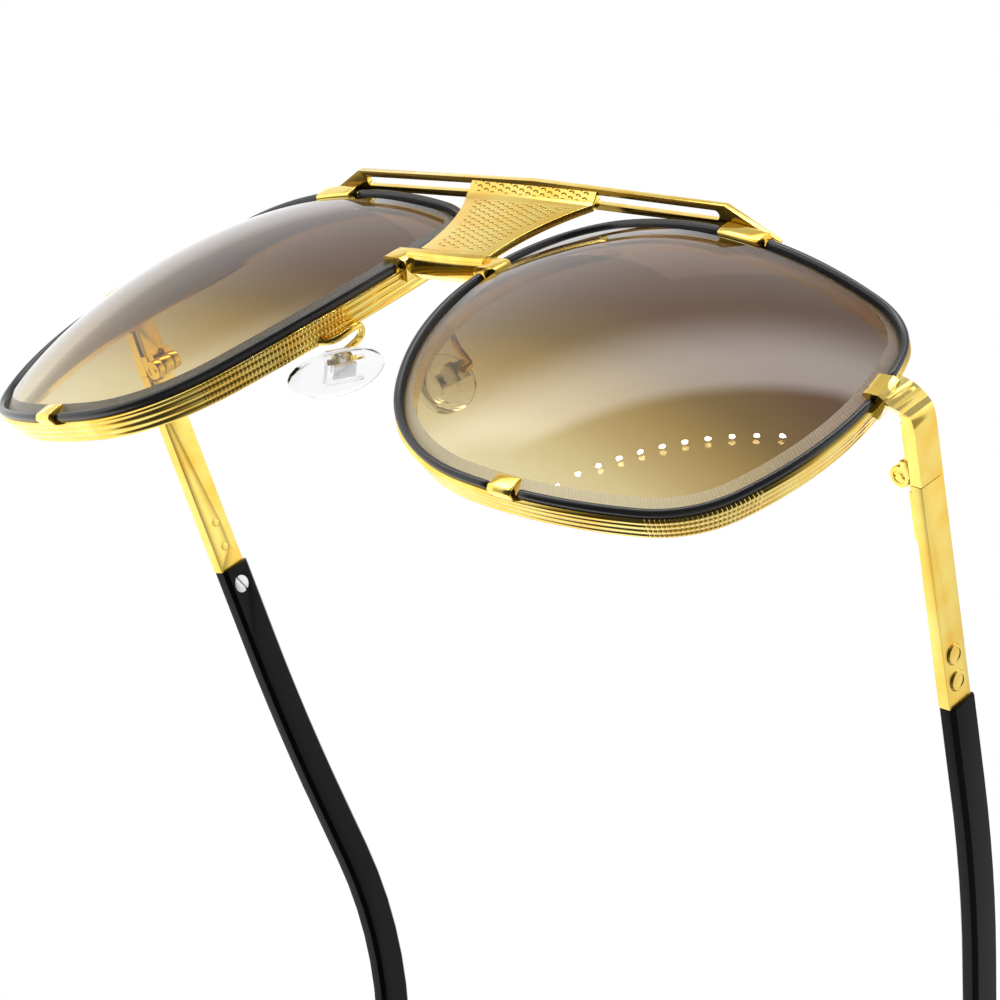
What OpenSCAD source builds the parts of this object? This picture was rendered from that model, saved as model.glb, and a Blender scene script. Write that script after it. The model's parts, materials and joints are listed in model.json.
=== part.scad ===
// Metal sunglasses with two domed navigator lenses, a slotted brow bar and folding temples.
// X runs across the face, Y runs from the front to the back, Z points up.
// The lower claws and the temple tips rest on the plane Z = 0.

/* [Lenses] */
// Radius of the ball surface that the front of each lens follows
lens_curve = 71.5; // [68:0.5:76]
// Thickness of the lens
lens_thick = 2.2; // [1.8:0.1:2.6]
// Width of the ground bevel round the front of the lens
bevel_width = 2; // [1.5:0.1:2.4]
// How far the lens turns round the side of the face, in degrees
lens_wrap = 9.13; // [8.5:0.1:9.8]
// How far the lens looks down, in degrees
lens_tilt = 6.56; // [6:0.1:7]

/* [Rims] */
// Depth of the rim band from its front edge to its back edge
rim_depth = 3.6; // [3.2:0.1:4]
// Thickness of the rim band beside the lens
rim_wall = 0.85; // [0.7:0.05:1]
// Depth of the fine grooves round the rim
groove_depth = 0.15; // [0.1:0.05:0.2]
// Width of the dark trim on the front edge of the rim
trim_width = 1.35; // [1.2:0.05:1.5]

/* [Claws] */
// How far the lower claw reaches over the front of the lens
claw_reach = 2.3; // [2:0.1:2.6]
// Thickness of a claw
claw_thick = 0.7; // [0.5:0.05:0.8]
// Free space between a claw and the ends of the dark trim
trim_gap = 0.3; // [0.2:0.05:0.5]

/* [Brow bar and bridge] */
// Thickness of the brow bar
bar_thick = 0.85; // [0.7:0.05:1]
// Width of the brow bar from front to back
bar_width = 2.7; // [2.6:0.05:2.8]
// Width of the slot in each half of the brow bar
slot_width = 1.2; // [1:0.05:1.3]
// Half the width of the bridge plate under the bar
plate_top = 10.9; // [10:0.1:11]
// Half the width of the bridge plate at its lower end
plate_foot = 6; // [5.5:0.1:6.2]
// Radius of the hollow sides of the bridge plate
plate_hollow = 22.6; // [20:0.5:26]

/* [Hinges and temples] */
// Height of the endpieces and temples
temple_height = 4.1; // [3.9:0.05:4.3]
// Thickness of the endpieces and temples
temple_thick = 1.6; // [1.4:0.05:1.7]
// Length of the metal temple behind the hinge pin
temple_length = 30.7; // [30:0.1:34]
// Angle by which the temples run inward, in degrees
temple_inward = 7.1; // [5.5:0.1:6.5]
// Radius of the hinge barrel
barrel_radius = 1.4; // [1.3:0.05:1.4]
// Radius of the hinge pin
pin_radius = 0.5; // [0.4:0.05:0.6]

/* [Temple tips] */
// Thickness of the temple tip
tip_thick = 2.5; // [2.3:0.1:2.8]
// Height of the temple tip
tip_height = 4.6; // [4.4:0.1:5]
// Length of the straight front part of the tip
tip_straight = 11.3; // [11:0.1:13]
// Radius of the slight inward curve of the tip
tip_curve = 215; // [200:5:240]
// Angle of the inward curve, in degrees
tip_turn = 7; // [6:0.5:8]
// Length of the tip between its inward curve and its bend
tip_after = 7; // [5:0.5:9]
// Radius of the bend behind the ear
tip_bend = 50; // [48:1:54]
// Angle of the bend, in degrees
tip_drop = 45; // [42:0.5:46]
// Length of the tip below the bend
tip_end = 32.76; // [28:0.02:32.76]

/* [Nose pads] */
// Length of a nose pad
pad_length = 13; // [12:0.5:14]
// Width of a nose pad
pad_width = 7; // [6.5:0.1:7.5]
// Thickness of the wire of a pad arm
arm_wire = 1.1; // [1:0.05:1.2]

/* [Hidden] */

// The shared origin, measured in the frame in which the front is drawn
middle_y = 77.937;
floor_z = -36.629;

gold = [0.93, 0.76, 0.25];
black = [0.07, 0.07, 0.08];
silver = [0.75, 0.75, 0.77];
smoke = [0.42, 0.36, 0.30, 0.75];
clear = [0.85, 0.88, 0.90, 0.5];

// Everything of the right side, and its mirror image
module placed() translate([0, -middle_y, -floor_z]) children();
module right_side() placed() children();
module left_side() mirror([1, 0, 0]) placed() children();

// Outline of the lens opening, four wide arcs and four round corners
side_centre = [[-10.7, -266.6], [-8, 1], [0.1, 22.3], [17.1, 9.2]];
side_radius = [292.5, 41.6, 51.2, 47.5];
corner_radius = [11.6, 17.5, 25.2, 8];
corner_side = [[1, 1], [1, -1], [-1, -1], [-1, 1]];
function toward(a, b) = (b - a) / norm(b - a);
function corner_at(i) =
    let (
        a = side_centre[i],
        b = side_centre[(i + 1) % 4],
        ra = side_radius[i] - corner_radius[i],
        rb = side_radius[(i + 1) % 4] - corner_radius[i],
        gap = norm(b - a),
        along = (gap * gap + ra * ra - rb * rb) / (2 * gap),
        across = sqrt(ra * ra - along * along),
        e = toward(a, b),
        foot = a + e * along,
        out = [-e[1], e[0]] * across
    )
    (foot + out) * corner_side[i] > (foot - out) * corner_side[i] ? foot + out : foot - out;
corner = [for (i = [0:3]) corner_at(i)];
function meeting(i, j) = side_centre[i] + side_radius[i] * toward(side_centre[i], corner[j]);
function bearing(v) = atan2(v[1], v[0]);
function on_side(i, angle) = side_centre[i] + side_radius[i] * [cos(angle), sin(angle)];
// An arc is its centre, radius, first point and last point, run clockwise
function side_arc(i) = [side_centre[i], side_radius[i], meeting(i, (i + 3) % 4), meeting(i, i)];
function corner_arc(i) = [corner[i], corner_radius[i], meeting(i, i), meeting((i + 1) % 4, i)];
function piece_of(i, from, to) = [side_centre[i], side_radius[i], on_side(i, from), on_side(i, to)];
outline = [for (i = [0:3]) each [side_arc(i), corner_arc(i)]];

// The flat outline is laid on the ball of the lens, where its arcs stay circles
function far_angle(a) = 2 * atan((norm(a[0]) + a[1]) / (2 * lens_curve));
function near_angle(a) = 2 * atan((norm(a[0]) - a[1]) / (2 * lens_curve));
function pole(a) = (far_angle(a) + near_angle(a)) / 2;
function cone(a) = (far_angle(a) - near_angle(a)) / 2;
function on_ball(p) =
    let (t = 2 * atan(norm(p) / (2 * lens_curve)), b = bearing(p))
    [sin(t) * cos(b), sin(t) * sin(b), cos(t)];
function about_pole(a, p) =
    let (q = on_ball(p), b = bearing(a[0]), t = pole(a), x = q[0] * cos(b) + q[1] * sin(b))
    atan2(q[1] * cos(b) - q[0] * sin(b), x * cos(t) - q[2] * sin(t));
function turn(a) =
    let (d = about_pole(a, a[2]) - about_pole(a, a[3]))
    d < 0 ? d + 360 : d;
// A section point is its distance outside the outline and its height over the lens ball
function section_point(a, p) = [
    (lens_curve + p[1]) * sin(cone(a)) + p[0] * cos(cone(a)),
    (lens_curve + p[1]) * cos(cone(a)) - p[0] * sin(cone(a))
];
// An arc piece revolved about its own pole, for claws
module along(a, section)
    rotate([0, pole(a), bearing(a[0])])
        rotate([0, 0, about_pole(a, a[3])])
            rotate_extrude(angle = turn(a), $fn = 96)
                polygon([for (p = section) section_point(a, p)]);
// A station on the ball is its point, the way out of the outline and a width factor
function pole_way(a) = [sin(pole(a)) * cos(bearing(a[0])), sin(pole(a)) * sin(bearing(a[0])), cos(pole(a))];
function station(a, angle, width = 1) =
    let (q = on_ball(a[0] + a[1] * [cos(angle), sin(angle)]), g = cone(a))
    [q, (q * cos(g) - pole_way(a)) / sin(g), width];
function clockwise(a) =
    let (s = bearing(a[2] - a[0]), e = bearing(a[3] - a[0]))
    [s, e > s ? e - 360 : e];
function stations(a, count) =
    let (w = clockwise(a))
    [for (k = [0:count - 1]) station(a, w[0] + (w[1] - w[0]) * k / count)];
function swept_point(st, p, middle) =
    st[0] * (lens_curve + p[1]) + st[1] * (middle + (p[0] - middle) * st[2]);
// Rings of points joined one after another into one body
module rings(rows, closed = false) {
    n = len(rows[0]);
    m = len(rows);
    polyhedron(
        [for (ring = rows) each ring],
        concat(
            [for (j = [0:closed ? m - 1 : m - 2], k = [0:n - 1])
                let (a = j * n, b = (j + 1) % m * n, c = (k + 1) % n)
                each [[a + k, a + c, b + c], [a + k, b + c, b + k]]],
            closed ? [] : [[for (k = [n - 1:-1:0]) k], [for (k = [0:n - 1]) (m - 1) * n + k]]
        )
    );
}
module swept(rows, section, middle, closed)
    rings([for (st = rows) [for (p = section) swept_point(st, p, middle)]], closed);

// The ball of the right lens in the frame of the front
ball_centre = [25.33, 71.48, -0.83];
module on_lens() translate(ball_centre) rotate([90 + lens_tilt, 0, lens_wrap]) children();
function turned_x(p, a) = [p[0], p[1] * cos(a) - p[2] * sin(a), p[1] * sin(a) + p[2] * cos(a)];
function turned_z(p, a) = [p[0] * cos(a) - p[1] * sin(a), p[0] * sin(a) + p[1] * cos(a), p[2]];
function turned_y(p, a) = [p[0] * cos(a) + p[2] * sin(a), p[1], p[2] * cos(a) - p[0] * sin(a)];
function lens_point(p, h) =
    ball_centre + turned_z(turned_x(on_ball(p) * (lens_curve + h), 90 + lens_tilt), lens_wrap);

// How many stations each arc of the outline gets
points_on = [8, 5, 6, 6, 6, 7, 8, 4];

// Rim band, dark trim and claws, all drawn along the outline
rim_face = 0.45;
rim_front = -0.5;
rim_back = rim_front - rim_depth;
seat = -0.4;
ledge = rim_face - rim_wall - 0.75;
groove = rim_face - groove_depth;
groove_pitch = rim_depth / 3.4;
rim_section = concat(
    [[seat, rim_front], [rim_face, rim_front]],
    [for (i = [0:2]) each [
        [rim_face, rim_front - groove_pitch * (i + 0.5)],
        [groove, rim_front - groove_pitch * (i + 0.7)],
        [rim_face, rim_front - groove_pitch * (i + 0.9)]
    ]],
    [[rim_face, rim_back], [ledge, rim_back], [ledge, -lens_thick], [seat, -lens_thick]]
);
bead = (trim_width - 0.05) / 2;
bead_middle = 0.05 - trim_width + bead;
bead_top = 0.15;
trim_inner = bead_middle - bead;
bead_arc = [for (t = [36:36:144]) [bead_middle + bead * cos(t), bead_top + bead * sin(t)]];
trim_section = concat(
    [[trim_inner, rim_front], [0, rim_front], [0, bead_top]],
    bead_arc,
    [[trim_inner, bead_top]]
);
// A claw rests on the front edge of the rim and may have a short leg outside it
function claw_section(reach, leg) = concat(
    [[-reach, -0.12], [-reach, claw_thick - 0.35], [0.35 - reach, claw_thick - 0.1], [-0.1, claw_thick + 0.45]],
    leg == 0 ? [[rim_face, claw_thick + 0.1]] : [
        [rim_face + 0.3, claw_thick + 0.3],
        [rim_face + claw_thick, 0.5],
        [rim_face + claw_thick, rim_front - leg],
        [rim_face, rim_front - leg]
    ],
    [[rim_face, rim_front], [seat, rim_front]]
);
// Where the claws sit, as angles on the wide arcs, each run clockwise
brow_claw = [0, 88.8, 87.5];
end_claw = [1, 14.8, 8.7];
bottom_claw = [2, 277.2, 273.4];
bridge_claw = [3, 182.6, 179];
rounding = [[1, 0.35], [0.75, 0.75], [0.4, 0.93]];
function degrees(i, length) = length / side_radius[i] * 180 / PI;
module rim()
    on_lens()
        swept([for (i = [0:7]) each stations(outline[i], points_on[i])], rim_section, 0, true);
// One length of trim from the end of claw c to the start of claw d
module trim_piece(c, d) {
    from = c[2] - degrees(c[0], trim_gap + bead);
    to = d[1] + degrees(d[0], trim_gap + bead);
    first = side_arc(c[0]);
    last = side_arc(d[0]);
    swept(
        concat(
            [for (r = rounding) station(first, from + degrees(c[0], bead * r[0]), r[1])],
            stations([first[0], first[1], on_side(c[0], from), first[3]], 4),
            stations(corner_arc(c[0]), points_on[2 * c[0] + 1]),
            stations([last[0], last[1], last[2], on_side(d[0], to)], 4),
            [station(last, to)],
            [for (k = [2:-1:0]) station(last, to - degrees(d[0], bead * rounding[k][0]), rounding[k][1])]
        ),
        trim_section, bead_middle, false
    );
}
module trim() on_lens() {
    trim_piece(brow_claw, end_claw);
    trim_piece(end_claw, bottom_claw);
    trim_piece(bottom_claw, bridge_claw);
    trim_piece(bridge_claw, brow_claw);
}
module claw(c, reach, leg) on_lens() along(piece_of(c[0], c[1], c[2]), claw_section(reach, leg));
module rim_space(c, extra)
    on_lens() along(
        piece_of(c[0], c[1] + extra, c[2] - extra),
        [[-6, -12], [-6, rim_front], [rim_face, rim_front], [rim_face, -12]]
    );
module trim_space(c, extra)
    on_lens() along(
        piece_of(c[0], c[1] + extra, c[2] - extra),
        [[-6, -1], [-6, 4], [0.3, 4], [0.3, -1]]
    );

// Domed lens, rings of points from its middle to its edge
lens_edge = seat - 0.12;
function outline_points(s) = [
    for (i = [0:7])
        let (a = outline[i], w = clockwise(a))
        for (k = [0:points_on[i] - 1])
            let (t = w[0] + (w[1] - w[0]) * k / points_on[i])
            a[0] + (a[1] + s) * [cos(t), sin(t)]
];
bevel_start = lens_edge - bevel_width - 0.8;
dome_rings = [0.25, 0.5, 0.75, 1];
ring_size = len(outline_points(0));
function ring(s, f, h) = [for (p = outline_points(s)) on_ball(p * f) * (lens_curve + h)];
lens_points = concat(
    [[0, 0, lens_curve]],
    [for (f = dome_rings) each ring(bevel_start, f, 0)],
    ring(lens_edge, 1, -0.7),
    ring(lens_edge, 1, -lens_thick),
    [for (f = [0.66, 0.33]) each ring(lens_edge, f, -lens_thick)],
    [[0, 0, lens_curve - lens_thick]]
);
ring_count = 8;
function at(r, k) = 1 + r * ring_size + k % ring_size;
lens_faces = concat(
    [for (k = [0:ring_size - 1]) [0, at(0, k + 1), at(0, k)]],
    [for (r = [0:ring_count - 2], k = [0:ring_size - 1]) each [
        [at(r, k), at(r, k + 1), at(r + 1, k + 1)],
        [at(r, k), at(r + 1, k + 1), at(r + 1, k)]
    ]],
    [for (k = [0:ring_size - 1]) [at(ring_count, 0), at(ring_count - 1, k), at(ring_count - 1, k + 1)]]
);
module lens() on_lens() polyhedron(lens_points, lens_faces);

// Slotted brow bar, flat seen from above, its ends swept back onto the rims
bar_under = 16.9;
bar_front = -1.5;
bend_x = 31.8;
bend_y = -0.6;
bar_end = [39.2, 3.6];
slot_from = 10.7;
slot_to = 30.6;
sweep = toward([bend_x, bend_y], bar_end);
bar_back = [-sweep[1], sweep[0]] * (bar_width - 0.3);
bar_right = [
    [0, bar_front],
    [bend_x, bend_y],
    bar_end,
    bar_end + bar_back,
    [bend_x - 1.5, bend_y + bar_width],
    [0, bar_front + bar_width + 0.2]
];
module bar_outline()
    polygon(concat(bar_right, [for (k = [4:-1:1]) [-bar_right[k][0], bar_right[k][1]]]));
module slot_half() {
    mid = bar_front + 0.8 + slot_width / 2;
    rise = (bend_y - bar_front) / bend_x;
    translate([slot_from, mid + slot_from * rise])
        rotate(atan(rise)) {
            translate([0, -slot_width / 2]) square([slot_to - slot_from - slot_width / 2, slot_width]);
            translate([slot_to - slot_from - slot_width / 2, 0]) circle(r = slot_width / 2, $fn = 20);
            circle(r = slot_width / 2, $fn = 20);
        }
}
module bar()
    translate([0, 0, bar_under])
        linear_extrude(bar_thick)
            difference() {
                bar_outline();
                slot_half();
                mirror([1, 0]) slot_half();
            }
module below_bar()
    translate([0, -20, bar_under - 60])
        cube([60, 60, 60]);

// Bridge plate, folded under the bar and narrowed by two hollow sides
plate_thick = 0.9;
plate_low = 1.24;
fold_z = 15.5;
plate_side = [
    [-0.9, bar_under],
    [0, 16.1],
    [0.32, fold_z],
    [1.18, plate_low],
    [1.18 + plate_thick, plate_low],
    [0.32 + plate_thick, fold_z],
    [0.9, bar_under]
];
module plate_hollow_cut() {
    top = [plate_top, fold_z];
    foot = [plate_foot, plate_low];
    half = norm(top - foot) / 2;
    e = toward(foot, top);
    out = [e[1], -e[0]];
    translate((top + foot) / 2 + out * sqrt(plate_hollow * plate_hollow - half * half))
        circle(r = plate_hollow, $fn = 144);
    translate([plate_top, fold_z]) square([8, 8]);
}
module plate()
    intersection() {
        rotate([90, 0, 90])
            linear_extrude(2 * plate_top + 2, center = true)
                polygon(plate_side);
        rotate([90, 0, 0])
            linear_extrude(20, center = true)
                difference() {
                    translate([-plate_top, plate_low]) square([2 * plate_top, bar_under - plate_low]);
                    plate_hollow_cut();
                    mirror([1, 0]) plate_hollow_cut();
                }
    }

// Bridge between the rims, a thin shelf with a web behind it
web_half = 6.6;
web_side = [
    [0.9, -0.2],
    [0.75, 0.5],
    [1, plate_low],
    [4.6, plate_low],
    [4.6, 0.1],
    [3.5, -0.9],
    [1.2, -0.5]
];
module bridge_bar() {
    difference() {
        rotate([90, 0, 90])
            linear_extrude(2 * web_half, center = true)
                polygon(web_side);
        rim_space(bridge_claw, 8);
        mirror([1, 0, 0]) rim_space(bridge_claw, 8);
    }
    claw(bridge_claw, 2.8, 1.4);
    mirror([1, 0, 0]) claw(bridge_claw, 2.8, 1.4);
}

// Frame of the temple, its origin on the hinge axis at the front drawing height
hinge_x = 65.25;
hinge_y = 23.7;
band_low = 1;
temple_inner = 1.55;
temple_outer = temple_inner + temple_thick;
split = 0.75;
module at_hinge() translate([hinge_x, hinge_y, band_low]) rotate([0, 0, temple_inward]) children();

// Endpiece, from the claw round the corner to the hinge
corner_out = 4.2;
end_front = -11.6;
module endpiece_plan() {
    turn_x = temple_outer - corner_out;
    turn_y = end_front + corner_out;
    difference() {
        union() {
            translate([temple_inner, turn_y]) square([temple_thick, split - turn_y - 0.05]);
            translate([turn_x, turn_y]) circle(r = corner_out, $fn = 40);
            translate([-3, end_front]) square([turn_x + 3, corner_out]);
        }
        translate([turn_x, turn_y]) circle(r = corner_out - temple_thick, $fn = 28);
        translate([-9, end_front + temple_thick]) square([turn_x + 9, 20]);
        translate([turn_x, turn_y]) square([corner_out - temple_thick, 20]);
    }
}
endpiece_side = [
    [end_front - 1, -2.2],
    [end_front - 1, 2.9],
    [end_front + 3, temple_height - 0.2],
    [end_front + 5, temple_height],
    [2, temple_height],
    [2, 0],
    [end_front + 5, 0],
    [end_front + 3, -0.3],
    [end_front + 1, -2]
];
module endpiece_band() {
    difference() {
        at_hinge()
            intersection() {
                translate([0, 0, -4]) linear_extrude(12) endpiece_plan();
                rotate([90, 0, 90]) linear_extrude(20, center = true) polygon(endpiece_side);
            }
        rim_space(end_claw, 6);
        trim_space(end_claw, 6);
    }
    claw(end_claw, 1.8, 1.6);
}

// Hinge, two knuckles on the front leaf and one between them on the rear leaf
knuckle = 1.15;
play = 0.06;
leaf_thick = 0.7;
module knuckle_ring(low, high, bore)
    difference() {
        union() {
            translate([0, 0, low]) cylinder(r = barrel_radius, h = high - low, $fn = 20);
            children();
        }
        translate([0, 0, low - 1]) cylinder(r = bore, h = high - low + 2, $fn = 16);
    }
module front_leaf()
    at_hinge() {
        translate([temple_inner - leaf_thick, -7.2, 0.35])
            cube([leaf_thick - 0.005, 7.2 - barrel_radius - 0.2, temple_height - 0.7]);
        for (z = [0, temple_height - knuckle])
            difference() {
                knuckle_ring(z, z + knuckle, pin_radius)
                    translate([0.3, -barrel_radius - 0.8, z])
                        cube([temple_inner - 0.305, barrel_radius + 0.8, knuckle]);
                translate([0, 0, -0.01]) cylinder(r = pin_radius + 0.3, h = 0.46, $fn = 16);
            }
    }
module rear_leaf()
    at_hinge() {
        translate([temple_inner - leaf_thick, barrel_radius + 0.5, 0.35])
            cube([leaf_thick, 6.5, temple_height - 0.7]);
        knuckle_ring(knuckle + play, temple_height - knuckle - play, pin_radius + 0.05)
            translate([0.3, 0, knuckle + play])
                cube([temple_inner - 0.3, barrel_radius + 0.7, temple_height - 2 * knuckle - 2 * play]);
    }
module hinge_pin()
    at_hinge() {
        cylinder(r = pin_radius, h = temple_height, $fn = 16);
        difference() {
            translate([0, 0, 0.05]) cylinder(r = pin_radius + 0.3, h = 0.4, $fn = 16);
            translate([-1, -0.12, 0]) cube([2, 0.24, 0.2]);
        }
    }

// Temple with its core inside the tip
core_thick = 1;
core_height = 2.6;
core_length = 13;
screw_places = [temple_length - 6.7, temple_length - 3.1];
rivet_place = temple_length + 2.6;
mid_x = temple_inner + temple_thick / 2;
mid_z = temple_height / 2;
shank = 0.6;
rivet_face = mid_x - tip_thick / 2;
rivet_end = mid_x + tip_thick / 2 - 0.6;
module cross_bore(y, from, to)
    translate([from, y, mid_z]) rotate([0, 90, 0]) cylinder(r = shank, h = to - from, $fn = 14);
module temple()
    at_hinge()
        difference() {
            union() {
                translate([temple_inner, split + 0.05, 0]) cube([temple_thick, temple_length - split - 0.05, temple_height]);
                translate([mid_x - core_thick / 2, temple_length, mid_z - core_height / 2])
                    cube([core_thick, core_length, core_height]);
            }
            for (y = screw_places) cross_bore(y, 0, temple_outer + 1);
            cross_bore(rivet_place, rivet_face - 1, rivet_end);
        }
module temple_screws()
    at_hinge()
        for (y = screw_places) {
            cross_bore(y, temple_inner, temple_outer + 0.05);
            translate([temple_outer, y, mid_z])
                rotate([0, 90, 0])
                    difference() {
                        cylinder(r1 = 1.4, r2 = 1.2, h = 0.3, $fn = 20);
                        translate([0, 0, 0.17]) cylinder(r = 0.85, h = 1, $fn = 16);
                    }
        }

// Temple tip, a bevelled bar that curves inward and then bends down behind the ear
bevel = 0.5;
tip_rise = 0.35;
tip_start = temple_length + 0.02;
tip_middle = mid_z + tip_rise;
// A place on the tip is its point, the angle it heads inward and the angle it heads down
function tip_way(a, d) = [-sin(a) * cos(d), cos(a) * cos(d), -sin(d)];
curve_end = [-tip_curve * (1 - cos(tip_turn)), tip_straight + tip_curve * sin(tip_turn), 0];
ear = curve_end + tip_after * tip_way(tip_turn, 0);
function in_bend(d) =
    ear + tip_bend * sin(d) * tip_way(tip_turn, 0) - [0, 0, tip_bend * (1 - cos(d))];
tip_places = concat(
    [[[0, 0, 0], 0, 0]],
    [for (k = [0:6])
        let (a = tip_turn * k / 6)
        [[-tip_curve * (1 - cos(a)), tip_straight + tip_curve * sin(a), 0], a, 0]],
    [for (k = [0:10]) let (d = tip_drop * k / 10) [in_bend(d), tip_turn, d]],
    [[in_bend(tip_drop) + tip_end * tip_way(tip_turn, tip_drop), tip_turn, tip_drop]]
);
function tip_ring(place, size = 1) =
    let (
        side = [cos(place[1]), sin(place[1]), 0],
        up = [-sin(place[1]) * sin(place[2]), cos(place[1]) * sin(place[2]), cos(place[2])],
        a = tip_thick / 2,
        b = tip_height / 2
    )
    [for (p = [[a, bevel - b], [a, b - bevel], [a - bevel, b], [bevel - a, b],
        [-a, b - bevel], [-a, bevel - b], [bevel - a, -b], [a - bevel, -b]])
        place[0] + side * p[0] + up * p[1] * size];
function past_end(t) =
    let (last = tip_places[len(tip_places) - 1])
    [last[0] + tip_height / 2 * sin(t) * tip_way(last[1], last[2]), last[1], last[2]];
module tip()
    at_hinge()
        difference() {
            translate([mid_x, tip_start, tip_middle])
                rings(concat(
                    [for (place = tip_places) tip_ring(place)],
                    [for (t = [30, 60, 82]) tip_ring(past_end(t), cos(t))]
                ));
            translate([mid_x - core_thick / 2, tip_start - 1, mid_z - core_height / 2])
                cube([core_thick, core_length + 1.2, core_height]);
            cross_bore(rivet_place, rivet_face - 1, rivet_end);
            translate([rivet_face + 0.35, rivet_place, mid_z])
                rotate([0, -90, 0]) cylinder(r = 1.2, h = 2, $fn = 20);
        }
module tip_rivet()
    at_hinge() {
        cross_bore(rivet_place, rivet_face + 0.2, rivet_end);
        difference() {
            translate([rivet_face + 0.35, rivet_place, mid_z])
                rotate([0, -90, 0]) cylinder(r = 1.2, h = 0.45, $fn = 20);
            translate([rivet_face - 0.5, rivet_place, mid_z])
                rotate([25, 0, 0]) translate([0, -2, -0.15]) cube([0.6, 4, 0.3]);
        }
    }

// Nose pads, their arms and the small boxes that hold them
pad_centre = [9.4, 11.6, -13.8];
pad_splay = 25;
pad_flare = 22;
pad_lean = 3;
pad_front = -1.3;
pad_back = 0.8;
module at_pad() translate(pad_centre) rotate([-pad_lean, -pad_flare, -pad_splay]) children();
// The box sits a little forward of the middle of the pad and above it
box_shift = [0, -0.5, 0.8];
module at_box() at_pad() translate(box_shift) children();
pad_oval = [for (t = [0:15:345]) [pad_width / 2 * cos(t), pad_length / 2 * sin(t)]];
module pad_body()
    difference() {
        at_pad()
            intersection() {
                translate([pad_back, 0, 0])
                    rotate([90, 0, -90]) linear_extrude(pad_back - pad_front) polygon(pad_oval);
                translate([pad_front + 14, 0, 0])
                    rotate([90, 0, 0]) rotate_extrude($fn = 96) translate([8.5, 0]) circle(r = 5.5, $fn = 48);
            }
        at_box() translate([-0.3, -1.55, -2.55]) cube([3, 3.1, 5.1]);
    }
module pad_insert()
    at_box()
        difference() {
            union() {
                translate([-0.3, -1.5, -2.5]) cube([0.7, 3, 5]);
                translate([0.3, -0.4, -0.9]) cube([2, 0.8, 1.8]);
            }
            translate([1.6, -3, 0]) rotate([-90, 0, 0]) cylinder(r = 0.45, h = 6, $fn = 16);
        }
module pad_screw()
    at_box()
        translate([1.6, 0, 0])
            rotate([90, 0, 0]) {
                translate([0, 0, -1.05]) cylinder(r = 0.4, h = 2.15, $fn = 16);
                translate([0, 0, 1.05]) cylinder(r = 0.6, h = 0.35, $fn = 16);
            }
module pad_box()
    at_box()
        difference() {
            translate([1.05, -1.05, -1.35]) cube([1.9, 2.1, 2.7]);
            translate([0.5, -0.5, -1.05]) cube([1.95, 1, 2.1]);
            translate([1.6, -3, 0]) rotate([-90, 0, 0]) cylinder(r = 0.4, h = 6, $fn = 16);
        }
// The wire is a row of points joined by a curve, swept with a round section
arm_root = [-27.16, -7.35];
function pad_point(p) =
    pad_centre + turned_z(turned_y(turned_x(p, -pad_lean), -pad_flare), -pad_splay);
arm_points = let (root = lens_point(arm_root, rim_back + 0.3)) [
    root,
    [8.9, 6.9, -13.9],
    [7.9, 6.6, -12.6],
    [7.6, 6.3, -11.1],
    [7.8, 6.6, -9.7],
    [8.3, 7.8, -9.2],
    [9, 8.8, -9.6],
    pad_point(box_shift + [3.4, 0, 1.6]),
    pad_point(box_shift + [2.9, 0, 0])
];
function catmull(p, i, t) =
    let (n = len(p) - 1, a = p[max(0, i - 1)], b = p[i], c = p[min(n, i + 1)], d = p[min(n, i + 2)])
    0.5 * (2 * b + (c - a) * t + (2 * a - 5 * b + 4 * c - d) * t * t + (3 * b - a - 3 * c + d) * t * t * t);
arm_path = concat(
    [for (i = [0:len(arm_points) - 2], t = [0, 0.5]) catmull(arm_points, i, t)],
    [arm_points[len(arm_points) - 1]]
);
arm_last = len(arm_path) - 1;
arm_sides = 8;
function arm_ring(j) =
    let (
        d = toward(arm_path[max(0, j - 1)], arm_path[min(arm_last, j + 1)]),
        side = cross(d, [0.2, -1, 0.4]) / norm(cross(d, [0.2, -1, 0.4])),
        up = cross(side, d)
    )
    [for (k = [0:arm_sides - 1])
        arm_path[j] + arm_wire / 2 * (side * cos(360 * k / arm_sides) - up * sin(360 * k / arm_sides))];
module pad_arm() rings([for (j = [0:arm_last]) arm_ring(j)]);

module brow_claw_piece()
    intersection() {
        claw(brow_claw, 2, 1.6);
        below_bar();
    }

// Sub-parts
module rim_left() { color(gold) left_side() rim(); }
module rim_right() { color(gold) right_side() rim(); }
module trim_left() { color(black) left_side() trim(); }
module trim_right() { color(black) right_side() trim(); }
module lens_left() { color(smoke) left_side() lens(); }
module lens_right() { color(smoke) right_side() lens(); }
module brow_bar() { color(gold) placed() bar(); }
module brow_claw_left() { color(gold) left_side() brow_claw_piece(); }
module brow_claw_right() { color(gold) right_side() brow_claw_piece(); }
module bridge_plate() { color(gold) placed() plate(); }
module bridge() { color(gold) placed() bridge_bar(); }
module bottom_claw_left() { color(gold) left_side() claw(bottom_claw, claw_reach, 0); }
module bottom_claw_right() { color(gold) right_side() claw(bottom_claw, claw_reach, 0); }
module endpiece_left() { color(gold) left_side() endpiece_band(); }
module endpiece_right() { color(gold) right_side() endpiece_band(); }
module hinge_front_left() { color(gold) left_side() front_leaf(); }
module hinge_front_right() { color(gold) right_side() front_leaf(); }
module pad_arm_left() { color(gold) left_side() pad_arm(); }
module pad_arm_right() { color(gold) right_side() pad_arm(); }
module pad_box_left() { color(gold) left_side() pad_box(); }
module pad_box_right() { color(gold) right_side() pad_box(); }
module temple_left() { color(gold) left_side() temple(); }
module temple_right() { color(gold) right_side() temple(); }
module hinge_rear_left() { color(gold) left_side() rear_leaf(); }
module hinge_rear_right() { color(gold) right_side() rear_leaf(); }
module hinge_screw_left() { color(gold) left_side() hinge_pin(); }
module hinge_screw_right() { color(gold) right_side() hinge_pin(); }
module tip_left() { color(black) left_side() tip(); }
module tip_right() { color(black) right_side() tip(); }
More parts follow.
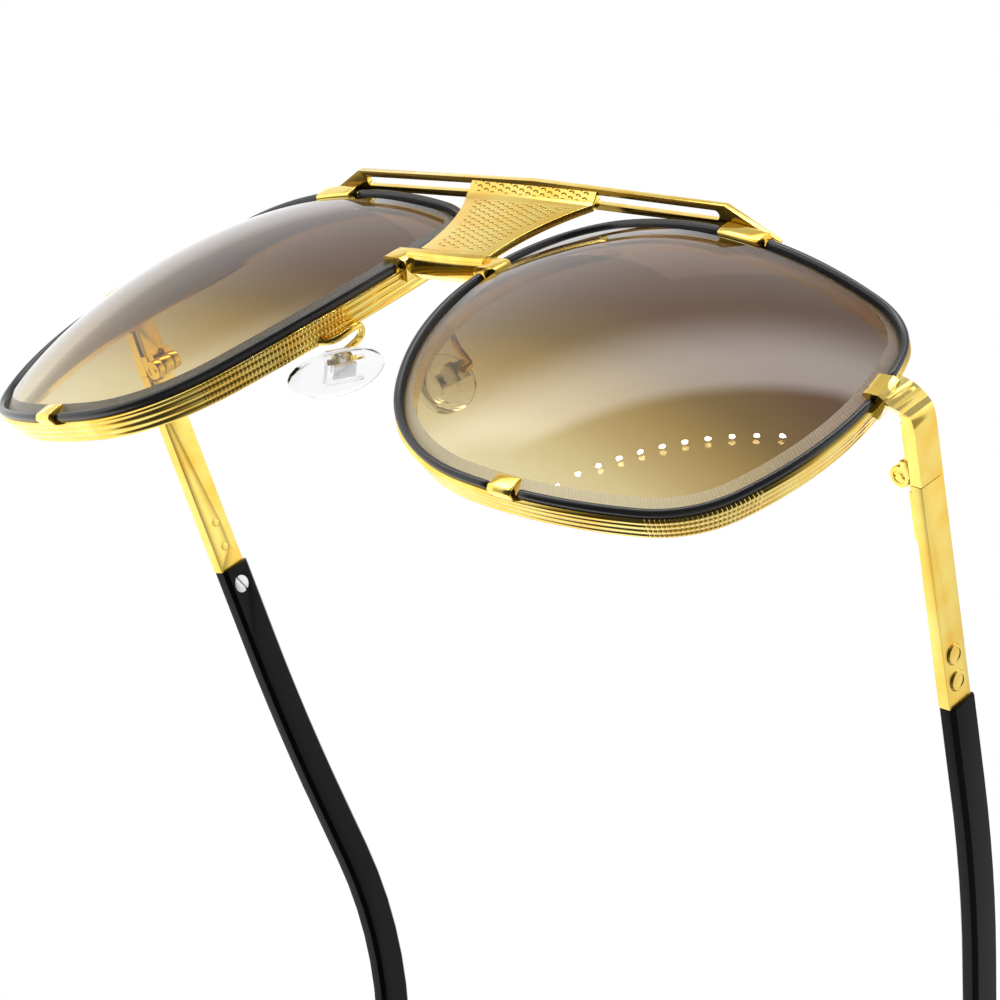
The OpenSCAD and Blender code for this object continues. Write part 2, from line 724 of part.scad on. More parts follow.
module tip_rivet_left() { color(silver) left_side() tip_rivet(); }
module tip_rivet_right() { color(silver) right_side() tip_rivet(); }
module temple_screws_left() { color(gold) left_side() temple_screws(); }
module temple_screws_right() { color(gold) right_side() temple_screws(); }
module pad_left() { color(clear) left_side() pad_body(); }
module pad_right() { color(clear) right_side() pad_body(); }
module pad_insert_left() { color(gold) left_side() pad_insert(); }
module pad_insert_right() { color(gold) right_side() pad_insert(); }
module pad_screw_left() { color(gold) left_side() pad_screw(); }
module pad_screw_right() { color(gold) right_side() pad_screw(); }

rim_left();
rim_right();
trim_left();
trim_right();
lens_left();
lens_right();
brow_bar();
brow_claw_left();
brow_claw_right();
bridge_plate();
bridge();
bottom_claw_left();
bottom_claw_right();
endpiece_left();
endpiece_right();
hinge_front_left();
hinge_front_right();
pad_arm_left();
pad_arm_right();
pad_box_left();
pad_box_right();
temple_left();
temple_right();
hinge_rear_left();
hinge_rear_right();
hinge_screw_left();
hinge_screw_right();
tip_left();
tip_right();
tip_rivet_left();
tip_rivet_right();
temple_screws_left();
temple_screws_right();
pad_left();
pad_right();
pad_insert_left();
pad_insert_right();
pad_screw_left();
pad_screw_right();
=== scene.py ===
"""Metal sunglasses with domed tinted lenses, a slotted brow bar and folding temples."""
import json
import math

import bpy
from mathutils import Matrix, Vector

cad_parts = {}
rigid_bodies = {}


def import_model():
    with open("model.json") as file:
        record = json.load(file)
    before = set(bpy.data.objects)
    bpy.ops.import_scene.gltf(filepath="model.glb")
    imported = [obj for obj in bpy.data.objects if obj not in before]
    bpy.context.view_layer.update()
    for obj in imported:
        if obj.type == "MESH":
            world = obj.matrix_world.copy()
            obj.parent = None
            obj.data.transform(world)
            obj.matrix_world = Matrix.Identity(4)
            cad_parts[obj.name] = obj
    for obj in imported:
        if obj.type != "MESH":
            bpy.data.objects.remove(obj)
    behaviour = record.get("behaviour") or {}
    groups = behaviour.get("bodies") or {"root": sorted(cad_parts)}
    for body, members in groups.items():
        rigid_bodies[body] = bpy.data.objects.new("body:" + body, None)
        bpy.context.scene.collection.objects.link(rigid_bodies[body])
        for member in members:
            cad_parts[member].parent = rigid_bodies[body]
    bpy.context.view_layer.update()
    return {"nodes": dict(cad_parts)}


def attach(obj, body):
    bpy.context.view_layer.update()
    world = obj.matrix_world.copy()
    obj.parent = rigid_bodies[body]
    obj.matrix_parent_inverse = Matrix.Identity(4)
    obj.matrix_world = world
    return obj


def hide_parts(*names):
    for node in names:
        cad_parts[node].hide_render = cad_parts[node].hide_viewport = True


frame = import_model()
nodes = frame["nodes"]
MM = 0.001

# Sizes in millimetres. The places on the lens ball are as in the part's source.
LENS_CURVE = 71.5
LENS_WRAP = 9.13
LENS_TILT = 6.56
LENS_THICK = 2.2
BALL_CENTRE = Vector((25.33, 71.48, -0.83))
MIDDLE_Y = 77.937
FLOOR_Z = -36.629

# The outline's four sides and the corners between them: top, outer, bottom and nose side
SIDE_CENTRE = [Vector(p) for p in ((-10.7, -266.6), (-8, 1), (0.1, 22.3), (17.1, 9.2))]
SIDE_RADIUS = [292.5, 41.6, 51.2, 47.5]
CORNER_RADIUS = [11.6, 17.5, 25.2, 8]
CORNER_SIDE = [Vector(p) for p in ((1, 1), (1, -1), (-1, -1), (-1, 1))]

# Each claw's side of the outline, and the bearings between which it leaves no trim
CLAWS = {
    "brow": (0, 88.8, 87.5),
    "end": (1, 14.8, 8.7),
    "bottom": (2, 277.2, 273.4),
    "bridge": (3, 182.6, 179),
}
CLAW_GAP = 0.3

# Sections, as distances outwards from the outline and from the ball
RIM_DEPTH = 3.6
RIM_FACE = 0.45
RIM_FRONT = -0.5
RIM_BACK = RIM_FRONT - RIM_DEPTH
RIM_EDGE = 0.1
RIM_BACK_EDGE = 0.12
GROOVE_PITCH = RIM_DEPTH / 3.4
GROOVE = ((0.5, 0), (0.6, -0.11), (0.7, -0.15), (0.8, -0.11), (0.9, 0))
GROOVES = 3
SEAT = -0.4
LEDGE = -1.15
TRIM_HALF = 0.5
TRIM_FRONT = 0.1
TRIM_END_STEPS = 4
LENS_GAP = 0.14
BEVEL_WIDTH = 2
BEVEL_DROP = 0.67
LENS_EDGE = 0.12
LENS_EDGE_DROP = 0.8
LENS_RINGS = 22

OUTLINE_STEP = 1.1

# How near two points count as one, in metres
SAME = 1e-7
CLOSED_SAME = 2e-5
SOLID_SAME = 2e-6
SECTION_SAME = 1e-6
RADIUS_SAME = 2e-6

# Eased edges of the other pieces
EASE_SEGMENTS = 3
EASE_ANGLE = 28
SMOOTH_ANGLE = 32
RIM_SMOOTH = 50
LENS_SMOOTH = 7
FLAT_ANGLE = 0.5

SIDES = ("left", "right")


# Modelling

def deselect():
    if bpy.context.object and bpy.context.object.mode != "OBJECT":
        bpy.ops.object.mode_set(mode="OBJECT")
    bpy.ops.object.select_all(action="DESELECT")


def activate(piece):
    deselect()
    piece.select_set(True)
    bpy.context.view_layer.objects.active = piece


def edit(piece, mode="VERT"):
    activate(piece)
    bpy.ops.object.mode_set(mode="EDIT")
    bpy.ops.mesh.select_mode(type=mode)


def done():
    bpy.ops.object.mode_set(mode="OBJECT")


def pick(piece, test):
    """Selects the vertices that pass the test, from edit mode and back."""
    bpy.ops.mesh.select_all(action="DESELECT")
    bpy.ops.object.mode_set(mode="OBJECT")
    for v in piece.data.vertices:
        v.select = test(v)
    bpy.ops.object.mode_set(mode="EDIT")


def everything():
    bpy.ops.mesh.select_all(action="SELECT")


def apply_modifier(piece, kind, **values):
    activate(piece)
    modifier = piece.modifiers.new(kind.lower(), kind)
    for key, value in values.items():
        setattr(modifier, key, value)
    bpy.ops.object.modifier_apply(modifier=modifier.name)


def outward(piece):
    edit(piece)
    everything()
    bpy.ops.mesh.normals_make_consistent(inside=False)
    done()


def settle(piece):
    activate(piece)
    bpy.ops.object.transform_apply(location=True, rotation=True, scale=True)


def smooth(piece, angle):
    activate(piece)
    bpy.ops.object.shade_smooth_by_angle(angle=math.radians(angle))


def copy_of(piece, name):
    activate(piece)
    bpy.ops.object.duplicate()
    copy = bpy.context.object
    copy.name = name
    return copy


def chain(name, points):
    """An open row of edges, drawn as a line that is extruded from point to point."""
    deselect()
    bpy.ops.mesh.primitive_plane_add(size=0.001, location=(0, 0, 0))
    piece = bpy.context.object
    piece.name = name
    edit(piece)
    everything()
    bpy.ops.mesh.merge(type="CENTER")
    bpy.ops.transform.translate(value=points[0])
    for a, b in zip(points, points[1:]):
        bpy.ops.mesh.extrude_vertices_move(TRANSFORM_OT_translate={"value": Vector(b) - Vector(a)})
    return piece


# Outline on the lens ball

def corner_centre(i):
    """Centre of the arc that touches two neighbouring sides from within."""
    a, b = SIDE_CENTRE[i], SIDE_CENTRE[(i + 1) % 4]
    ra = SIDE_RADIUS[i] - CORNER_RADIUS[i]
    rb = SIDE_RADIUS[(i + 1) % 4] - CORNER_RADIUS[i]
    gap = (b - a).length
    along = (gap * gap + ra * ra - rb * rb) / (2 * gap)
    across = math.sqrt(ra * ra - along * along)
    way = (b - a) / gap
    foot = a + way * along
    out = Vector((-way.y, way.x)) * across
    return max((foot + out, foot - out), key=lambda p: p.dot(CORNER_SIDE[i]))


CORNER = [corner_centre(i) for i in range(4)]


def bearing(v):
    return math.degrees(math.atan2(v.y, v.x))


def meeting(i, j):
    """Where side i and corner j touch."""
    return SIDE_CENTRE[i] + SIDE_RADIUS[i] * (CORNER[j] - SIDE_CENTRE[i]).normalized()


def side_arc(i):
    """An arc: centre, radius, and the bearings where it starts and stops."""
    c = SIDE_CENTRE[i]
    return c, SIDE_RADIUS[i], bearing(meeting(i, (i + 3) % 4) - c), bearing(meeting(i, i) - c)


def corner_arc(i):
    c = CORNER[i]
    return c, CORNER_RADIUS[i], bearing(meeting(i, i) - c), bearing(meeting((i + 1) % 4, i) - c)


WHOLE = [(arc, arc[2], arc[3]) for i in range(4) for arc in (side_arc(i), corner_arc(i))]


def from_pole(distance):
    """The angle on the ball that belongs to a distance in its flat picture."""
    return 2 * math.atan(distance / (2 * LENS_CURVE))


def direction(angle, around):
    flat = math.sin(angle)
    return Vector((flat * math.cos(around), flat * math.sin(around), math.cos(angle)))


def on_ball(p):
    return direction(from_pole(p.length), math.atan2(p.y, p.x))


def pole_and_cone(arc):
    """A plane arc is a circle on the ball: its pole, and the angle between pole and circle."""
    centre, radius = arc[:2]
    far = from_pole(centre.length + radius)
    near = from_pole(centre.length - radius)
    return direction((far + near) / 2, math.atan2(centre.y, centre.x)), (far - near) / 2


def at_angle(arc, angle):
    a = math.radians(angle)
    return on_ball(arc[0] + arc[1] * Vector((math.cos(a), math.sin(a))))


def section_at(arc, angle, section):
    """The points of a section where it stands on the outline."""
    pole, cone = pole_and_cone(arc)
    q = at_angle(arc, angle)
    out = (q * math.cos(cone) - pole) / math.sin(cone)
    return [(q * (LENS_CURVE + height) + out * side) * MM for side, height in section]


def turn_between(arc, start, stop):
    """Turn about the arc's pole from one plane angle to another, clockwise seen from outside."""
    pole, cone = pole_and_cone(arc)
    a = (at_angle(arc, start) - pole * math.cos(cone)).normalized()
    b = (at_angle(arc, stop) - pole * math.cos(cone)).normalized()
    turn = math.degrees(math.atan2(pole.dot(a.cross(b)), a.dot(b)))
    return turn if turn <= 0 else turn - 360


def spun(name, section, arcs, closed=False):
    """A section spun along arcs in turn, each about its own pole through the ball's centre."""
    loop = section_at(arcs[0][0], arcs[0][1], section)
    piece = chain(name, loop + [loop[0]])
    everything()
    bpy.ops.mesh.remove_doubles(threshold=SAME)
    everything()
    for arc, start, stop in arcs:
        pole, cone = pole_and_cone(arc)
        turn = math.radians(turn_between(arc, start, stop))
        length = abs(turn) * LENS_CURVE * math.sin(cone)
        steps = max(2, math.ceil(length / OUTLINE_STEP))
        bpy.ops.mesh.spin(steps=steps, angle=SPIN_WAY * turn, center=(0, 0, 0), axis=pole)
    everything()
    bpy.ops.mesh.remove_doubles(threshold=CLOSED_SAME if closed else SAME)
    done()
    return piece


def spin_direction():
    """Which way this build of the spin operator turns, tried once on a single point."""
    piece = chain("trial", [(0.01, 0, 0), (0.02, 0, 0)])
    everything()
    bpy.ops.mesh.spin(steps=1, angle=math.radians(90), center=(0, 0, 0), axis=(0, 0, 1))
    done()
    way = 1 if max(v.co.y for v in piece.data.vertices) > 0.005 else -1
    bpy.data.objects.remove(piece)
    return way


SPIN_WAY = spin_direction()

# Turns the ball's pole forward, and sets the lens ball on the floor about the middle
TO_FLOOR = Matrix.Translation(Vector((0, -MIDDLE_Y, -FLOOR_Z)) * MM)
LENS_PLACE = (
    TO_FLOOR
    @ Matrix.Translation(BALL_CENTRE * MM)
    @ Matrix.Rotation(math.radians(LENS_WRAP), 4, "Z")
    @ Matrix.Rotation(math.radians(90 + LENS_TILT), 4, "X")
)
MIRROR = Matrix.Diagonal((-1, 1, 1, 1))


def wear(piece, materials):
    """Gives the piece its materials and leaves the faces' slots as they are."""
    slots = [f.material_index for f in piece.data.polygons]
    piece.data.materials.clear()
    for m in materials:
        piece.data.materials.append(m)
    for f, slot in zip(piece.data.polygons, slots):
        f.material_index = slot if slot < len(materials) else 0


def both_sides(piece, materials, angle):
    """The right piece where it belongs and its mirror image as the left one, in place of the solids."""
    name = piece.name
    left = copy_of(piece, name + "_left_detail")
    piece.name = name + "_right_detail"
    for side, half, place in (("right", piece, LENS_PLACE), ("left", left, MIRROR @ LENS_PLACE)):
        half.matrix_world = place
        settle(half)
        outward(half)
        smooth(half, angle)
        wear(half, materials)
        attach(half, "front")
        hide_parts(name + "_" + side)


# Materials

class Value:
    """A shader socket that takes part in Python expressions."""

    def __init__(self, shades, socket):
        self.shades = shades
        self.socket = socket

    def math(self, operation, *others):
        return self.shades.node("ShaderNodeMath", {"operation": operation}, [self, *others])[0]

    def __add__(self, other):
        return self.math("ADD", other)

    def __radd__(self, other):
        return self.math("ADD", other)

    def __sub__(self, other):
        return self.math("SUBTRACT", other)

    def __rsub__(self, other):
        return self.shades.node("ShaderNodeMath", {"operation": "SUBTRACT"}, [other, self])[0]

    def __neg__(self):
        return 0 - self

    def __mul__(self, other):
        return self.math("MULTIPLY", other)

    def __rmul__(self, other):
        return self.math("MULTIPLY", other)

    def __truediv__(self, other):
        return self.math("DIVIDE", other)

    def __abs__(self):
        return self.math("ABSOLUTE")

    def step(self, low, high):
        """0 below low, 1 above high and smooth between."""
        t = ((self - low) / (high - low)).math("MINIMUM", 1).math("MAXIMUM", 0)
        return t * t * (3 - 2 * t)

    def within(self, low, high, soft):
        """1 from low to high, with an edge as wide as soft above either."""
        return self.step(low, low + soft) * (1 - self.step(high, high + soft))


class Shades:
    """The one way in which the nodes of a material or of the world are made."""

    def __init__(self, tree):
        self.tree = tree
        tree.nodes.clear()

    def node(self, kind, settings=None, inputs=()):
        """A node of this kind, its settings made first, then its inputs. Gives its outputs."""
        new = self.tree.nodes.new(kind)
        for key, value in (settings or {}).items():
            if key == "stops":
                ramp = new.color_ramp
                while len(ramp.elements) < len(value):
                    ramp.elements.new(0.5)
                for element, (place, colour) in zip(ramp.elements, value):
                    element.position = place
                    element.color = (*colour, 1)
            else:
                setattr(new, key, value)
        pairs = inputs.items() if isinstance(inputs, dict) else enumerate(inputs)
        for key, value in pairs:
            if isinstance(value, Value):
                self.tree.links.new(value.socket, new.inputs[key])
            else:
                new.inputs[key].default_value = value
        return [Value(self, output) for output in new.outputs]

    def split(self, vector):
        return self.node("ShaderNodeSeparateXYZ", None, [vector])

    def ramp(self, factor, stops):
        return self.node("ShaderNodeValToRGB", {"stops": stops}, [factor])[0]

    def mix(self, factor, a, b):
        """Colour a where the factor is 0 and colour b where it is 1."""
        first = a if isinstance(a, Value) else (*a, 1)
        second = b if isinstance(b, Value) else (*b, 1)
        return self.node("ShaderNodeMix", {"data_type": "RGBA"}, {0: factor, 6: first, 7: second})[2]


class Paint(Shades):
    """A material with one principled shader."""

    def __init__(self, name):
        self.material = bpy.data.materials.new(name)
        self.material.use_nodes = True
        super().__init__(self.material.node_tree)

    def place(self):
        """The place on the piece in millimetres."""
        metres = self.node("ShaderNodeTexCoord")[3]
        return self.node("ShaderNodeVectorMath", {"operation": "SCALE"}, {0: metres, 3: 1 / MM})[0]

    def noise(self, scale, detail=3):
        inputs = {"Vector": self.place(), "Scale": scale, "Detail": detail}
        return self.node("ShaderNodeTexNoise", None, inputs)[0]

    def bump(self, height, strength, distance):
        inputs = {"Strength": strength, "Distance": distance, "Height": height}
        return self.node("ShaderNodeBump", None, inputs)[0]

    def principled(self, **inputs):
        named = {key.replace("_", " "): value for key, value in inputs.items()}
        return self.node("ShaderNodeBsdfPrincipled", None, named)[0]

    def shown(self, surface):
        self.node("ShaderNodeOutputMaterial", None, [surface])
        return self.material

    def finished(self, **inputs):
        return self.shown(self.principled(**inputs))


GOLD_LIGHT = (1.0, 0.77, 0.20)
GOLD_DEEP = (1.0, 0.63, 0.10)
# Painted shade in the grooves of the rims' ridges
GOLD_GROOVE_SHADE = (0.40, 0.19, 0.03)
# Painted shade in the bridge plate's dents
GOLD_DENT_SHADE = (0.34, 0.15, 0.02)
# Painted shade on the brow bar's faces that look down
GOLD_SHADE_BELOW = (0.16, 0.095, 0.012)
TRIM_GREY = (0.012, 0.012, 0.013)
TIP_BLACK = (0.002, 0.002, 0.0022)
BEVEL_SCRATCH = (0.80, 0.76, 0.66)

# Middle of a lens, and its height from the lowest edge
EYE_X = 36.6
EYE_Z = 27.6
LENS_LOW = 2
LENS_HEIGHT = 52

# Ridges across the rims: bearings about the lens middle, in radians, and how many in a full turn
RIDGES = 330
OUTER_RIDGES = (-0.86, -0.40)
NOSE_RIDGES = (-3.08, -2.38)
RIDGE_FADE = 0.04

# Dents of the bridge plate: how far apart, and the radius and half width of their arch
DENT_COLUMN = 1.22
DENT_ROW = 0.98
DENT_RADIUS = 0.36
DENT_HALF = 0.17
PLATE_LEAN = 0.9

# The plate's waist is an arc on either side. Its dents end short of the edges and of the fold.
PLATE_LOW = -FLOOR_Z
WAIST_UP = 1.446
WAIST_OUT = 28.6
WAIST_RADIUS = math.sqrt(510.8)
PLATE_RIM = 1.9
FIRST_DENTS = 2.3
PLATE_FOLD = 14.2
PLATE_TOP = 15.9


def gold_cloud(p, cloud):
    return p.mix(cloud.step(0.35, 0.7), GOLD_LIGHT, GOLD_DEEP)


def polished_gold(name, roughness):
    p = Paint(name)
    cloud = p.noise(0.18)
    fine = p.noise(2.4, 2)
    return p.finished(
        Metallic=1,
        Base_Color=gold_cloud(p, cloud),
        Roughness=roughness + cloud * 0.07 + fine * 0.03,
        Normal=p.bump(fine + cloud * 2, 0.05, 0.00004),
    )


def knurled_gold():
    """Gold of the rims, with short ridges across two stretches of the outer face and painted shade in
    the grooves between them.
    """
    p = Paint("knurled_gold")
    cloud = p.noise(0.18)
    fine = p.noise(2.4, 2)
    x, _, z = p.split(p.place())[:3]
    across = abs(x) - EYE_X
    up = z - EYE_Z
    angle = up.math("ARCTAN2", across)
    stretch = angle.within(*OUTER_RIDGES, RIDGE_FADE) + angle.within(*NOSE_RIDGES, RIDGE_FADE)
    wave = (angle * RIDGES).math("SINE") * 0.5 + 0.5
    outer_face = (across * across + up * up).math("SQRT").step(20, 21)
    ridge = wave.step(0.2, 0.8) * stretch * outer_face
    # Painted shade: the grooves between the ridges are coloured darker.
    groove_shade = (1 - wave).step(0.5, 0.95) * stretch
    return p.finished(
        Metallic=1,
        Base_Color=p.mix(groove_shade * 0.4, gold_cloud(p, cloud), GOLD_GROOVE_SHADE),
        Roughness=0.09 + cloud * 0.07 + fine * 0.03,
        Normal=p.bump(ridge * 3 + fine * 0.15, 0.35, 0.00008),
    )


def dented_gold():
    """Gold of the bridge plate, with staggered columns of small curved dents, each also painted darker
    with shade.
    """
    p = Paint("dented_gold")
    cloud = p.noise(0.18)
    fine = p.noise(3.5, 2)
    x, y, z = p.split(p.place())[:3]
    along = z - (y + MIDDLE_Y) * PLATE_LEAN
    column = x / DENT_COLUMN
    index = column.math("FLOOR")
    odd = (index * 0.5).math("FRACT") * 2
    row = along / DENT_ROW + odd * 0.5
    right = (column - index - 0.5) * DENT_COLUMN
    top = (row - row.math("FLOOR") - 0.30) * DENT_ROW
    reach = (right * right + top * top * 1.3).math("SQRT")
    ring = (1 - abs(reach - DENT_RADIUS) / DENT_HALF).step(0, 0.8)
    arch = ring * (top + right * 0.25).step(-0.06, 0.1)
    height = z - PLATE_LOW
    from_waist = height - WAIST_UP
    half_width = WAIST_OUT - (WAIST_RADIUS ** 2 - from_waist * from_waist).math("SQRT")
    inside = 1 - (abs(x) - half_width).step(-PLATE_RIM, 0.2 - PLATE_RIM)
    above = height.step(FIRST_DENTS, FIRST_DENTS + 0.3)
    fold = (height - PLATE_FOLD).step(0, 0.15) * (1 - (height - PLATE_TOP).step(0, 0.1))
    # This mask shapes the dents' bump and also paints shade into them.
    dent_and_shade = arch * inside * above * (1 - fold)
    return p.finished(
        Metallic=1,
        Base_Color=p.mix(dent_and_shade * 0.9, gold_cloud(p, cloud), GOLD_DENT_SHADE),
        Roughness=0.16 + fine * 0.06 + dent_and_shade * 0.1,
        Normal=p.bump(fine * 0.06 - dent_and_shade, 0.7, 0.00016),
    )


def satin_gold():
    """Gold of the brow bar, with painted shade on the faces that look down."""
    p = Paint("satin_gold")
    cloud = p.noise(0.3)
    fine = p.noise(3.5, 3)
    facing = p.node("ShaderNodeTexCoord")[1]
    # Painted shade: faces that look down are coloured darker.
    below = (-p.split(facing)[2]).step(0.6, 0.95)
    return p.finished(
        Metallic=1,
        Base_Color=p.mix(below * 0.92, gold_cloud(p, cloud), GOLD_SHADE_BELOW),
        Roughness=0.12 + fine * 0.08,
        Normal=p.bump(fine, 0.12, 0.00005),
    )


def dark_gloss(name, grey, roughness, level):
    p = Paint(name)
    cloud = p.noise(0.3)
    fine = p.noise(3, 2)
    return p.finished(
        Specular_IOR_Level=level,
        Base_Color=p.mix(cloud, [c * 0.8 for c in grey], [c * 1.3 for c in grey]),
        Roughness=roughness + fine * 0.06,
        Normal=p.bump(fine, 0.04, 0.00003),
    )


def silver():
    p = Paint("bright_silver")
    fine = p.noise(1.5)
    return p.finished(
        Metallic=1,
        Base_Color=p.mix(fine, (0.78, 0.77, 0.76), (0.62, 0.62, 0.63)),
        Roughness=0.16 + fine * 0.12,
    )


def tinted_lens():
    """A tint that fades from smoke at the top to tan at the bottom."""
    p = Paint("fading_tint")
    z = p.split(p.place())[2]
    height = (z - LENS_LOW) / LENS_HEIGHT + p.noise(0.6, 2) * 0.01
    stops = [
        (0.0, (0.82, 0.70, 0.40)),
        (0.13, (0.66, 0.53, 0.25)),
        (0.20, (0.52, 0.38, 0.16)),
        (0.30, (0.36, 0.245, 0.085)),
        (0.40, (0.22, 0.145, 0.06)),
        (0.55, (0.145, 0.085, 0.05)),
        (0.75, (0.12, 0.07, 0.045)),
        (1.0, (0.10, 0.062, 0.045)),
    ]
    return p.finished(
        Transmission_Weight=1,
        IOR=1.62,
        Specular_Tint=(0.6, 0.6, 0.6, 1),
        Base_Color=p.ramp(height, stops),
        Roughness=0,
    )


def frosted_edge():
    """The ground bevel of a lens, with fine scratches across it."""
    p = Paint("frosted_bevel")
    x, _, z = p.split(p.place())[:3]
    angle = (z - EYE_Z).math("ARCTAN2", abs(x) - EYE_X)
    scratch = (angle * 420 + p.noise(0.8) * 9).math("SINE")
    fine = p.noise(2.5, 4)
    stops = [(0.0, (0.66, 0.58, 0.42)), (0.5, (0.46, 0.39, 0.30)), (1.0, (0.26, 0.22, 0.19))]
    tint = p.ramp((z - LENS_LOW) / LENS_HEIGHT, stops)
    return p.finished(
        Transmission_Weight=0.8,
        IOR=1.5,
        Base_Color=p.mix((scratch * 0.5 + 0.5) * fine, tint, BEVEL_SCRATCH),
        Roughness=0.22 + fine * 0.2,
        Normal=p.bump(scratch * 0.3 + fine, 0.35, 0.00008),
    )


def clear_silicone():
    p = Paint("clear_silicone")
    cloud = p.noise(0.25)
    return p.finished(
        Transmission_Weight=1,
        IOR=1.3,
        Base_Color=p.mix(cloud, (0.98, 0.98, 0.98), (0.93, 0.94, 0.95)),
        Roughness=0.02 + cloud * 0.04,
    )


GOLD = polished_gold("polished_gold", 0.07)
SOFT_GOLD = polished_gold("brushed_gold", 0.26)
RIM_GOLD = knurled_gold()
PLATE_GOLD = dented_gold()
BAR_GOLD = satin_gold()
TRIM = dark_gloss("dark_trim", TRIM_GREY, 0.2, 0.6)
TIP = dark_gloss("dark_tip", TIP_BLACK, 0.06, 0.12)
SILVER = silver()
LENS = tinted_lens()
FROST = frosted_edge()
CLEAR = clear_silicone()


# Rims, trim and lenses

def make_rims():
    """Three grooves run round the outer face, and the lens sits in front of the ledge."""
    section = [(SEAT, RIM_FRONT), (RIM_FACE - RIM_EDGE, RIM_FRONT), (RIM_FACE, RIM_FRONT - RIM_EDGE)]
    for i in range(GROOVES):
        for along, depth in GROOVE:
            section.append((RIM_FACE + depth, RIM_FRONT - GROOVE_PITCH * (i + along)))
    section += [
        (RIM_FACE, RIM_BACK + RIM_BACK_EDGE),
        (RIM_FACE - RIM_BACK_EDGE, RIM_BACK),
        (LEDGE + RIM_EDGE, RIM_BACK),
        (LEDGE, RIM_BACK + RIM_EDGE),
        (LEDGE, -LENS_THICK),
        (SEAT, -LENS_THICK),
    ]
    rim = spun("rim", section, WHOLE, closed=True)
    both_sides(rim, [RIM_GOLD], RIM_SMOOTH)


def round_end(piece, section, arc, angle, way):
    """Ends a length of trim in a quarter round that gets narrower step by step."""
    base = section_at(arc, angle, section)
    middle = section_at(arc, angle, [(-TRIM_HALF, 0)])[0]
    beyond = section_at(arc, angle + way * 0.01, [(-TRIM_HALF, 0)])[0]
    reach = (beyond - middle).normalized() * TRIM_HALF * MM
    edit(piece)
    pick(piece, lambda v: min((v.co - p).length for p in base) < SECTION_SAME)
    turns = [math.radians(90 * k / TRIM_END_STEPS) for k in range(TRIM_END_STEPS + 1)]
    for a, b in zip(turns, turns[1:]):
        narrower = max(0.05, math.cos(b)) / math.cos(a)
        centre = middle + reach * math.sin(b)
        centre = centre - centre.normalized() * 0.5 * MM
        forward = reach * (math.sin(b) - math.sin(a))
        bpy.ops.mesh.extrude_region_move(TRANSFORM_OT_translate={"value": forward})
        bpy.ops.transform.resize(value=(narrower,) * 3, center_override=centre)
    bpy.ops.mesh.edge_face_add()
    done()


def make_trims():
    """Four lengths of rounded bead, each from one claw to the next."""
    section = [(-2 * TRIM_HALF, RIM_FRONT), (0, RIM_FRONT), (0, TRIM_FRONT)]
    for t in range(15, 180, 15):
        turn = math.radians(t)
        section.append((TRIM_HALF * (math.cos(turn) - 1), TRIM_FRONT + TRIM_HALF * math.sin(turn)))
    section.append((-2 * TRIM_HALF, TRIM_FRONT))
    lengths = []
    order = list(CLAWS)
    for a, b in zip(order, order[1:] + order[:1]):
        side_a, _, start = CLAWS[a]
        side_b, stop, _ = CLAWS[b]
        first, corner, last = side_arc(side_a), corner_arc(side_a), side_arc(side_b)
        start -= math.degrees((CLAW_GAP + TRIM_HALF) / SIDE_RADIUS[side_a])
        stop += math.degrees((CLAW_GAP + TRIM_HALF) / SIDE_RADIUS[side_b])
        arcs = [(first, start, first[3]), (corner, corner[2], corner[3]), (last, last[2], stop)]
        piece = spun("trim_" + a, section, arcs)
        round_end(piece, section, first, start, 1)
        round_end(piece, section, last, stop, -1)
        lengths.append(piece)
    activate(lengths[0])
    for piece in lengths[1:]:
        piece.select_set(True)
    bpy.ops.object.join()
    trim = bpy.context.object
    trim.name = "trim"
    both_sides(trim, [TRIM], RIM_SMOOTH)


def close_dome(lens, name, ring, radius):
    """Closes one side of the lens with rings towards the pole, and rounds them to the ball."""
    before = len(lens.data.vertices)
    edit(lens)
    pick(lens, lambda v: v.index in ring)
    for k in range(LENS_RINGS - 1, 0, -1):
        bpy.ops.mesh.extrude_edges_move()
        bpy.ops.transform.resize(value=(k / (k + 1),) * 3, center_override=(0, 0, radius))
    bpy.ops.mesh.extrude_edges_move()
    bpy.ops.mesh.merge(type="CENTER")
    done()
    group = lens.vertex_groups.new(name=name)
    fresh = [v.index for v in lens.data.vertices if v.index >= before]
    group.add(fresh + ring, 1.0, "REPLACE")
    apply_modifier(
        lens,
        "CAST",
        cast_type="SPHERE",
        factor=1,
        size=radius,
        radius=0,
        use_radius_as_size=False,
        vertex_group=name,
    )


